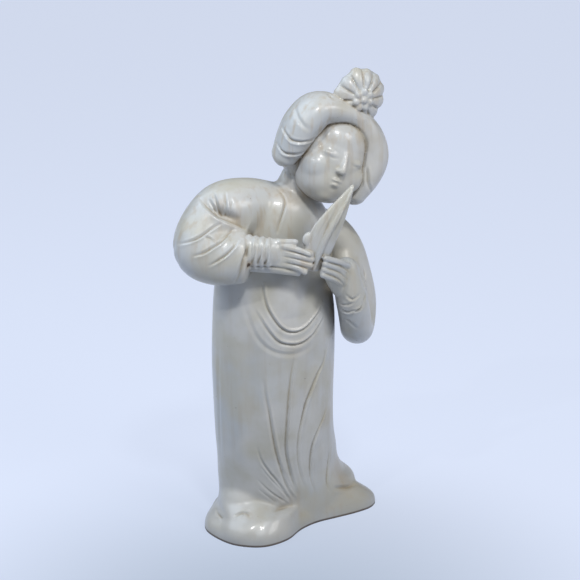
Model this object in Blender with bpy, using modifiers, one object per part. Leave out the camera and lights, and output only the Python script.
"""Glazed stoneware figure of a plump court lady, modelled in the Tang taste.

She stands on a low lobed base, leans to her left, and holds a long leaf-shaped thing in both
hands. Her hair is a wide puffed roll with one peony on top. The whole work is a single fired
piece, so all of its forms are fused into one closed solid.

Blender 4.5. Metres, +Z up. The lady faces -Y, so her left side is +X. The origin is on the flat
underside of the base, under the middle of the skirt.
"""

import math

import bmesh
import bpy
import numpy as np
from mathutils import Matrix, Vector
from mathutils.bvhtree import BVHTree
from mathutils.kdtree import KDTree

NODE = "glazed_lady_figure"

# Driving dimensions, in metres.
FIGURE_HEIGHT = 0.397
BASE_EDGE_THICKNESS = 0.009
BASE_SHOULDER_RISE = 0.011
SEED_DIAMETER = 0.0058
FINGER_DIAMETER = 0.0049

# Pose, proportions and carving are written in shares, of which the figure is 397 high.
SHARE = FIGURE_HEIGHT / 397.0

# The side, in degrees from the front, from which the drapery's strokes are drawn.
PHOTO_SIDE = -25

# Fineness of the work, in metres, and the size of the finished mesh.
BODY_GRAIN = 0.0016
DETAIL_GRAIN = 0.0009
BODY_SOFTENING = 16
DETAIL_SOFTENING = 2
TRIANGLES = 9400
RING_POINTS = 48
BELOW_GROUND = 0.006

# The head's own frame: where it sits on the body, and how it is turned, lifted and tilted.
HEAD_CENTRE = (40.0, -19.0, 324.0)
HEAD_TURN = -4.0
HEAD_LIFT = 8.0
HEAD_TILT = 26.0

# The peony's place in the head's frame, and how far it faces down.
PEONY_CENTRE = (-2.5, -17.0, 51.0)
PEONY_NOD = 14.0

GLAZE_COLOUR = (0.72, 0.71, 0.66, 1.0)
GLAZE_ROUGHNESS = 0.14


def clear_scene():
    """Removes what the file holds, and makes the figure's own collection."""
    for thing in list(bpy.data.objects):
        bpy.data.objects.remove(thing, do_unlink=True)
    collection = bpy.data.collections.new("glazed_lady")
    bpy.context.scene.collection.children.link(collection)
    return collection


def smooth_rows(stations, steps=6):
    """Rows on a Catmull-Rom curve through the stations, with that many steps to each span."""
    rows = np.array(stations, float)
    ends = np.vstack([2 * rows[0] - rows[1], rows, 2 * rows[-1] - rows[-2]])
    t = np.linspace(0.0, 1.0, steps, endpoint=False)[:, None]
    spans = []
    for a, b, c, d in zip(ends[:-3], ends[1:-2], ends[2:-1], ends[3:]):
        linear = (c - a) * t
        square = (2 * a - 5 * b + 4 * c - d) * t**2
        cube = (3 * b - a - 3 * c + d) * t**3
        spans.append(0.5 * (2 * b + linear + square + cube))
    return np.vstack(spans + [rows[-1:]])


def mesh_of_rings(name, rings):
    """A closed mesh through rings of points, with a flat cap on each end."""
    form = bmesh.new()
    loops = [[form.verts.new(Vector(p) * SHARE) for p in ring] for ring in rings]
    count = len(loops[0])
    for low, high in zip(loops, loops[1:]):
        for i in range(count):
            j = (i + 1) % count
            form.faces.new((low[i], low[j], high[j], high[i]))
    form.faces.new(loops[0][::-1])
    form.faces.new(loops[-1])
    bmesh.ops.recalc_face_normals(form, faces=form.faces)
    mesh = bpy.data.meshes.new(name)
    form.to_mesh(mesh)
    form.free()
    return mesh


def column(name, stations):
    """A body lofted through level ovals: x, y, z, half width, half depth, lean to her left."""
    angles = np.linspace(0.0, 2 * math.pi, RING_POINTS, endpoint=False)
    rings = []
    for x, y, z, half_width, half_depth, lean in smooth_rows(stations):
        across = half_width * np.cos(angles)
        down = math.sin(math.radians(lean))
        ring = np.stack(
            [
                x + across * math.cos(math.radians(lean)),
                y + half_depth * np.sin(angles),
                z - across * down,
            ],
            axis=1,
        )
        rings.append(ring)
    return mesh_of_rings(name, rings)


def limb(name, stations, reference=(0.0, 1.0, 0.0), roundness=1.0, points=24):
    """A round-ended limb along x, y, z, with a radius across and a radius along the reference."""
    rows = smooth_rows(stations)
    centres = rows[:, :3]
    tangents = np.gradient(centres, axis=0)
    tangents /= np.linalg.norm(tangents, axis=1)[:, None]
    across = np.cross(tangents, np.array(reference, float))
    across /= np.linalg.norm(across, axis=1)[:, None]
    along = np.cross(across, tangents)
    angles = np.linspace(0.0, 2 * math.pi, points, endpoint=False)
    cap = np.radians([78.0, 60.0, 40.0, 20.0])

    def ring(i, share, shift):
        offset = tangents[i] * shift
        side = np.outer(np.cos(angles), across[i]) * rows[i, 3] * share
        rise = np.outer(np.sin(angles), along[i]) * rows[i, 4] * share
        return centres[i] + offset + side + rise

    last = len(rows) - 1
    reach = [min(rows[i, 3], rows[i, 4]) * roundness for i in (0, last)]
    rings = [ring(0, math.cos(a), -reach[0] * math.sin(a)) for a in cap]
    rings += [ring(i, 1.0, 0.0) for i in range(last + 1)]
    rings += [ring(last, math.cos(a), reach[1] * math.sin(a)) for a in cap[::-1]]
    return mesh_of_rings(name, rings)


def ball(name, centre, radii, turn=None):
    """An ellipsoid with its own three radii, turned by a rotation matrix where one is given."""
    form = bmesh.new()
    bmesh.ops.create_uvsphere(form, u_segments=24, v_segments=16, radius=SHARE)
    place = Matrix.Translation(Vector(centre) * SHARE) @ (turn or Matrix()).to_4x4()
    bmesh.ops.transform(form, matrix=place @ Matrix.Diagonal((*radii, 1.0)), verts=form.verts)
    mesh = bpy.data.meshes.new(name)
    form.to_mesh(mesh)
    form.free()
    return mesh


def moved(mesh, matrix):
    """The mesh after a matrix, for forms that are made in the head's own frame."""
    mesh.transform(matrix)
    return mesh


def head_matrix():
    """From the head's own frame to the figure's."""
    turn = Matrix.Rotation(math.radians(HEAD_TURN), 4, "Z")
    tilt = Matrix.Rotation(math.radians(HEAD_TILT), 4, "Y")
    lift = Matrix.Rotation(math.radians(-HEAD_LIFT), 4, "X")
    return Matrix.Translation(Vector(HEAD_CENTRE) * SHARE) @ turn @ tilt @ lift


def base_slab():
    """The lobed base: a flat edge all round, then a soft shoulder up to the skirt's hem."""
    outline = [
        (-70, 0), (-69, -20), (-58, -44), (-38, -57), (-14, -54), (4, -43), (22, -38),
        (42, -37), (62, -36), (80, -31), (88, -20), (84, 2), (68, 26), (42, 42), (8, 50),
        (-30, 48), (-58, 28),
    ]
    closed = outline[-2:] + outline + outline[:2]
    line = smooth_rows(closed, 5)[10:-6]
    middle = line.mean(axis=0)
    edge = BASE_EDGE_THICKNESS / SHARE
    rise = BASE_SHOULDER_RISE / SHARE
    levels = [
        (-BELOW_GROUND / SHARE, 1.0), (0.0, 1.0), (0.6 * edge, 1.0), (edge, 0.97),
        (edge + 0.4 * rise, 0.90), (edge + rise, 0.78),
    ]
    rings = []
    for height, share in levels:
        flat = middle + (line - middle) * share
        rings.append(np.column_stack([flat, np.full(len(flat), height)]))
    return mesh_of_rings("base_slab", rings)


def feet():
    """The two shoes that push the hem forward: the right one well out, the left one beside it."""
    return [
        ball("right_toe", (-37, -30, 6), (28, 25, 22)),
        ball("right_instep", (-32, -14, 24), (22, 24, 34)),
        ball("left_toe", (46, -14, 6), (27, 20, 20)),
    ]


def gown():
    """The skirt and the body, from the hem up to the sloping shoulders and the neck."""
    skirt_and_body = [
        (10, 2, -6, 64, 40, 0), (11, 2, 14, 64, 39, 0), (10, 1, 32, 62, 37, 0),
        (4, 1, 47, 57, 38, 0), (1, 0, 62, 54, 39, 0), (-1, 0, 80, 53, 41, 0),
        (-2, 0, 110, 53, 43, 0), (-2, 0, 150, 54, 43, 0), (-2, -1, 186, 53, 44, 0),
        (-2, 0, 210, 51, 42, 1), (-1, 0, 232, 49, 38, 3), (2, -1, 252, 47, 34, 8),
        (6, -2, 268, 44, 31, 14), (11, -3, 281, 37, 27, 19), (15, -4, 290, 26, 21, 21),
        (18, -5, 296, 14, 13, 21),
    ]
    neck = [(13, -3, 278, 20, 18), (21, -6, 296, 19, 16), (31, -11, 316, 18, 16)]
    return [
        column("skirt_and_body", skirt_and_body),
        limb("neck", neck),
    ]


def sleeves():
    """The right sleeve bends out and forward over the belly; the left one hangs and folds up."""
    right = [
        (-4, 0, 279, 22, 22), (-25, 0, 282, 25, 25), (-44, -1, 279, 27.5, 28),
        (-59, -3, 269, 26, 26), (-68, -10, 256, 25, 25), (-60, -21, 251, 22, 23.5),
        (-50, -28, 251, 19, 22), (-42, -33, 251, 17, 21),
    ]
    left = [
        (22, -2, 262, 16, 16), (44, -3, 254, 18, 18), (59, -6, 238, 17.5, 17.5),
        (67, -10, 214, 16.5, 16.5), (70, -15, 192, 16, 16), (67, -21, 172, 15, 15),
        (60, -32, 176, 13.5, 14), (53, -41, 195, 13.5, 14), (46, -46, 214, 12.5, 13),
        (43, -46.5, 234, 10, 11),
    ]
    left_web = [(54, -12, 232, 12, 15), (59, -24, 208, 12, 16), (61, -26, 186, 11, 14)]
    return [
        limb("right_sleeve", right, (0, 0, 1), 0.3, 32),
        limb("left_sleeve", left),
        limb("left_web", left_web),
    ]


def right_cuff():
    """The gathered under-sleeve that comes out of the right sleeve's mouth, with its ribs."""
    start, end = np.array((-46, -31, 256.5)), np.array((-22, -45, 255.5))
    forms = [limb("cuff", [(*start, 11, 14), (*end, 8, 12)], (0, 0, 1))]
    for rib in range(4):
        middle = start + (end - start) * (0.30 + 0.19 * rib)
        half = (end - start) * 0.025
        rows = [(*(middle - half), 11.4, 15 - 0.4 * rib), (*(middle + half), 11.4, 15 - 0.4 * rib)]
        forms.append(limb(f"cuff_rib_{rib}", rows, (0, 0, 1), 0.15))
    return forms


def fingers(side):
    """The centre lines of one hand's four fingers, from knuckle to tip."""
    lines = []
    for finger in range(4):
        if side == "right":
            reach = (1.5, 4, 3, -2)[finger]
            line = [
                (-17, -50, 263 - 5.1 * finger), (-7, -58, 261 - 5.1 * finger),
                (reach, -61.5, 257 - 4.9 * finger),
            ]
        else:
            line = [
                (45 - 2.6 * finger, -50, 239 - 4.7 * finger),
                (32 - 1.5 * finger, -59.5, 246 - 4.9 * finger),
                (16 - 0.8 * finger, -62, 251.5 - 4.6 * finger),
            ]
        lines.append(line)
    return lines


def hands():
    """Each hand is a flat palm with a thumb and four fingers closed on the leaf's stalk."""
    radius = FINGER_DIAMETER / SHARE / 2
    right_palm = [(-28, -42, 253, 6, 11), (-14, -50, 251, 5, 12), (-5, -55.5, 249, 2, 9)]
    left_palm = [(38, -46, 218, 8, 8), (31, -50, 230, 9, 7), (22, -56, 242, 8, 3)]
    forms = [
        limb("right_palm", right_palm, (0, 0, 1)),
        limb("right_thumb", [(-27, -42, 265, 3.2, 3.2), (-7, -54, 266, 2.6, 2.6)], (0, 0, 1)),
        limb("left_palm", left_palm),
    ]
    for side in ("right", "left"):
        for number, line in enumerate(fingers(side)):
            rows = [(*point, radius, radius) for point in line]
            forms.append(limb(f"{side}_finger_{number}", rows, (0, 0, 1), points=12))
    return forms


def held_leaf():
    """The long pointed leaf, ridged down its middle, with a small round lobe at its foot."""
    blade = [
        (4, -54, 238, 8, 3), (10, -57, 255, 12.5, 3.5), (16.5, -59, 271, 12.5, 4),
        (24.5, -61, 285, 9.8, 4), (32.5, -62, 298, 5.6, 3), (39, -63, 309, 1.8, 1.6),
    ]
    rib = [(x, y - 1, z, 0.28 * across, 1.5 * deep) for x, y, z, across, deep in blade]
    return [
        limb("leaf_blade", blade, points=16),
        limb("leaf_rib", rib, points=12),
        ball("leaf_lobe", (3.5, -57, 268), (7, 4.5, 8)),
    ]


def face():
    """A calm, full face of general proportions: cheeks, chin, lids, nose and lips."""
    forms = [
        ball("skull", (0, -2, -2), (28, 29, 33)),
        ball("jaw", (0, -8, -19), (25, 21, 21)),
        ball("chin", (0, -19, -33), (9, 8, 7)),
        ball("upper_lip", (0, -28, -18.5), (4.6, 3, 1.7)),
        ball("lower_lip", (0, -27.5, -21.5), (3.8, 3, 1.8)),
        limb("nose", [(0, -28, 5, 2, 2), (0, -31.5, -4, 2.4, 3), (0, -32.5, -10, 3.4, 3.2)]),
    ]
    for side in (-1, 1):
        forms.append(ball(f"cheek_{side}", (14 * side, -12, -12), (14, 16, 14)))
        forms.append(ball(f"temple_{side}", (19 * side, -7, 2), (10, 14, 20)))
        forms.append(ball(f"lid_{side}", (11 * side, -26, 0), (5.6, 3.4, 2.6)))
    return forms


def hair():
    """One wide puffed roll that frames the face and covers the ears, over a full cap behind."""
    roll = [
        (-38, 0, -13, 10, 14), (-38, -4, 0, 12.5, 19), (-36, -7, 16, 14.5, 21),
        (-27, -8, 31, 14, 21), (-2, -8, 35, 10, 20), (18, -8, 27, 13, 20),
        (30, -7, 12, 15.5, 20), (32, -5, -5, 14.5, 19), (31, -3, -21, 10.5, 16),
    ]
    return [
        limb("hair_roll", roll, points=32),
        ball("hair_cap", (0, 10, 5), (41, 33, 38)),
        ball("hair_nape", (0, 14, -14), (28, 20, 20)),
    ]


def peony():
    """A domed flower that faces forward and a little down: petals round a boss of seeds."""
    forms = [
        ball("peony_heart", (0, 0, 0), (20.5, 7, 20.5)),
        ball("peony_foot", (0, 8, -9), (13, 11, 14)),
    ]
    petals = 12
    for petal in range(petals):
        angle = 2 * math.pi * (petal + 0.3) / petals
        back = Matrix.Rotation(-angle, 4, "Y") @ Matrix.Rotation(math.radians(30), 4, "Z")
        place = (14.5 * math.cos(angle), -2, 14.5 * math.sin(angle))
        forms.append(ball(f"petal_{petal}", place, (10.5, 5.7, 6.3), back))
    seed = SEED_DIAMETER / SHARE / 2
    forms.append(ball("seed_0", (0, -12, 0), (seed,) * 3))
    for ring_seed in range(6):
        angle = 2 * math.pi * ring_seed / 6
        place = (6.2 * math.cos(angle), -11, 6.2 * math.sin(angle))
        forms.append(ball(f"seed_{ring_seed + 1}", place, (seed,) * 3))
    turn = Matrix.Rotation(math.radians(PEONY_NOD), 4, "X")
    place = Matrix.Translation(Vector(PEONY_CENTRE) * SHARE) @ turn
    return [moved(form, place) for form in forms]


def fused(name, meshes, grain, softening):
    """One skin round all the meshes, drawn at that grain and softened as a glaze softens clay."""
    form = bmesh.new()
    for mesh in meshes:
        form.from_mesh(mesh)
        bpy.data.meshes.remove(mesh)
    joined = bpy.data.meshes.new(name)
    form.to_mesh(joined)
    form.free()
    body = bpy.data.objects.new(name, joined)
    bpy.context.scene.collection.objects.link(body)
    skin = body.modifiers.new("one skin", "REMESH")
    skin.mode = "VOXEL"
    skin.voxel_size = grain
    soft = body.modifiers.new("glaze", "SMOOTH")
    soft.factor = 0.5
    soft.iterations = softening
    return baked(body)


def baked(body):
    """The object's evaluated mesh; the object itself is removed."""
    view = bpy.context.evaluated_depsgraph_get()
    mesh = bpy.data.meshes.new_from_object(body.evaluated_get(view))
    source = body.data
    bpy.data.objects.remove(body, do_unlink=True)
    bpy.data.meshes.remove(source)
    return mesh


def viewed(azimuth, u, z):
    """A point and a direction: straight in at the figure, from that side, at u across and z up."""
    turn = math.radians(azimuth)
    right = Vector((math.cos(turn), math.sin(turn), 0))
    towards = Vector((math.sin(turn), -math.cos(turn), 0))
    return right * u * SHARE + Vector((0, 0, z * SHARE)) + towards * FIGURE_HEIGHT, -towards


def carve(mesh, strokes):
    """Cuts grooves, or raises ridges, along strokes that are drawn as seen from one side each.

    A stroke is its azimuth, its points (u across, z up), its half width and its depth.
    """
    tree = BVHTree.FromPolygons(
        [v.co for v in mesh.vertices], [tuple(p.vertices) for p in mesh.polygons]
    )
    count = len(mesh.vertices)
    places = np.empty(count * 3)
    mesh.vertices.foreach_get("co", places)
    places = places.reshape(-1, 3)
    normals = np.array([v.normal for v in mesh.vertices])
    push = np.zeros(count)
    for azimuth, points, half_width, depth in strokes:
        line = []
        for u, z in smooth_rows(points, 60):
            hit = tree.ray_cast(*viewed(azimuth, u, z))[0]
            if hit is not None:
                line.append(hit)
        line = np.array(line)
        width = half_width * SHARE
        low, high = line.min(axis=0) - 4 * width, line.max(axis=0) + 4 * width
        near = np.flatnonzero(((places > low) & (places < high)).all(axis=1))
        course = KDTree(len(line))
        for i, point in enumerate(line):
            course.insert(point, i)
        course.balance()
        found = [course.find(place)[1:] for place in places[near]]
        along = np.array([i for i, _ in found]) / (len(line) - 1)
        across = np.array([away for _, away in found]) / width
        ends = np.sin(np.pi * np.clip(along, 0.0, 1.0)) ** 0.7
        profile = np.exp(-(across**2)) - 0.3 * np.exp(-((across - 1.9) ** 2))
        push[near] -= depth * SHARE * ends * profile
    places += normals * push[:, None]
    mesh.vertices.foreach_set("co", places.ravel())
    mesh.update()


def finger_grooves():
    """The grooves that part each finger from the next, as strokes for carve."""
    turn = math.radians(PHOTO_SIDE)
    strokes = []
    for side in ("right", "left"):
        lines = fingers(side)
        for upper, lower in zip(lines, lines[1:]):
            middle = (np.array(upper) + np.array(lower)) / 2
            u = middle[:, 0] * math.cos(turn) + middle[:, 1] * math.sin(turn)
            strokes.append((PHOTO_SIDE, list(zip(u, middle[:, 2])), 1.1, 1.4))
    return strokes


def drapery():
    """The folds that show from a step away, as strokes for carve."""
    skirt_folds = [
        [(16, 161), (12, 130), (9, 95), (9, 69), (12, 45), (17, 25)],
        [(-8, 138), (-4, 105), (-1, 79), (5, 53), (12, 27)],
        [(-14, 78), (-6, 58), (3, 39), (11, 22)],
        [(-16, 50), (-4, 35), (6, 21)],
        [(45, 163), (40, 148), (32, 132), (24, 117), (21, 96), (21, 66), (22, 44), (25, 28)],
        [(44, 117), (40, 100), (34, 83), (31, 63), (31, 43), (35, 26)],
        [(47, 63), (45, 51), (46, 35), (48, 23)],
    ]
    belly_loops = [
        [(-11, 224), (-7, 210), (-2, 199), (3, 191), (12, 185), (23, 184), (31, 188), (40, 204)],
        [(-16, 198), (-9, 189), (0, 181), (10, 176), (18, 175), (27, 177), (34, 182), (42, 191)],
        [(-26, 216), (-22, 202), (-18, 188), (-12, 177), (0, 169), (16, 165), (36, 168)],
    ]
    sleeve_folds = [
        [(-41, 283), (-49, 277), (-60, 273), (-67, 269), (-80, 263)],
        [(-33, 277), (-39, 272), (-45, 268), (-54, 263), (-65, 259)],
        [(-29, 268), (-34, 264), (-42, 258), (-52, 251)],
        [(-52, 299), (-46, 291), (-41, 283)],
        [(-57, 293), (-50, 288), (-44, 284)],
    ]
    left_sleeve_folds = [
        [(79, 203), (67, 211), (58, 217)],
        [(80, 197), (71, 203), (60, 205)],
        [(58, 190), (66, 187), (73, 180)],
    ]
    hair_lines = [
        [(0, 349), (9, 347), (20, 346), (31, 348)],
        [(-3, 338), (6, 334), (16, 334), (24, 337)],
        [(6, 362), (16, 361), (28, 358), (38, 357)],
        [(72, 322), (75, 310), (77, 298)],
    ]
    strokes = [(PHOTO_SIDE, points, 2.8, 1.7) for points in skirt_folds]
    for points, depth in zip(belly_loops, (-1.6, 1.6, 1.0)):
        strokes.append((PHOTO_SIDE, points, 2.2, depth))
    strokes += [(PHOTO_SIDE, points, 2.4, 1.8) for points in sleeve_folds]
    strokes += [(PHOTO_SIDE, points, 2.2, 1.4) for points in left_sleeve_folds]
    strokes += [(PHOTO_SIDE, points, 2.6, 2.0) for points in hair_lines]
    strokes.append((PHOTO_SIDE, [(4, 301), (8, 297), (8, 290), (5, 278), (2, 268)], 2.0, 1.6))
    strokes.append((PHOTO_SIDE, [(-20, 270), (-25, 262), (-29, 252), (-30, 240)], 2.4, 2.2))
    strokes.append((0, [(-46, 26), (-37, 30), (-29, 26)], 2.2, 1.4))
    for u in (-34, -12, 10, 30):
        strokes.append((180, [(u, 20), (u * 0.94, 80), (u * 0.8, 150)], 3.0, 1.5))
    return strokes


def reduced(name, mesh, triangles):
    """The mesh brought down to about that many triangles."""
    mesh.calc_loop_triangles()
    body = bpy.data.objects.new(name, mesh)
    bpy.context.scene.collection.objects.link(body)
    fewer = body.modifiers.new("fewer", "DECIMATE")
    fewer.ratio = triangles / len(mesh.loop_triangles)
    fewer.use_collapse_triangulate = True
    return baked(body)


def cut_flat(mesh):
    """Cuts the mesh off at the ground and closes the flat underside."""
    form = bmesh.new()
    form.from_mesh(mesh)
    everything = form.verts[:] + form.edges[:] + form.faces[:]
    bmesh.ops.bisect_plane(
        form, geom=everything, plane_co=(0, 0, 0), plane_no=(0, 0, 1), clear_inner=True
    )
    rim = [edge for edge in form.edges if edge.is_boundary]
    bmesh.ops.triangle_fill(form, edges=rim, use_beauty=True, normal=(0, 0, -1))
    bmesh.ops.triangulate(form, faces=form.faces)
    bmesh.ops.recalc_face_normals(form, faces=form.faces)
    form.to_mesh(mesh)
    form.free()
    return mesh


def glaze():
    """The thin grey-white glaze over pale clay."""
    material = bpy.data.materials.new("white_glaze")
    material.use_nodes = True
    shader = material.node_tree.nodes["Principled BSDF"]
    shader.inputs["Base Color"].default_value = GLAZE_COLOUR
    shader.inputs["Roughness"].default_value = GLAZE_ROUGHNESS
    shader.inputs["Metallic"].default_value = 0.0
    return material


def make_figure():
    """Builds the figure and puts it in its collection."""
    collection = clear_scene()
    place_head = head_matrix()
    soft_forms = [base_slab()] + feet() + gown() + sleeves()
    body = fused("body", soft_forms, BODY_GRAIN, BODY_SOFTENING)
    head_forms = [moved(mesh, place_head) for mesh in face() + hair() + peony()]
    fine_forms = head_forms + right_cuff() + hands() + held_leaf()
    whole = fused("whole", [body] + fine_forms, DETAIL_GRAIN, DETAIL_SOFTENING)
    carve(whole, drapery() + finger_grooves())
    solid = cut_flat(reduced("fewer", whole, TRIANGLES))
    solid.name = NODE
    solid.materials.append(glaze())
    figure = bpy.data.objects.new(NODE, solid)
    collection.objects.link(figure)
    solid.shade_smooth()
    return figure


make_figure()
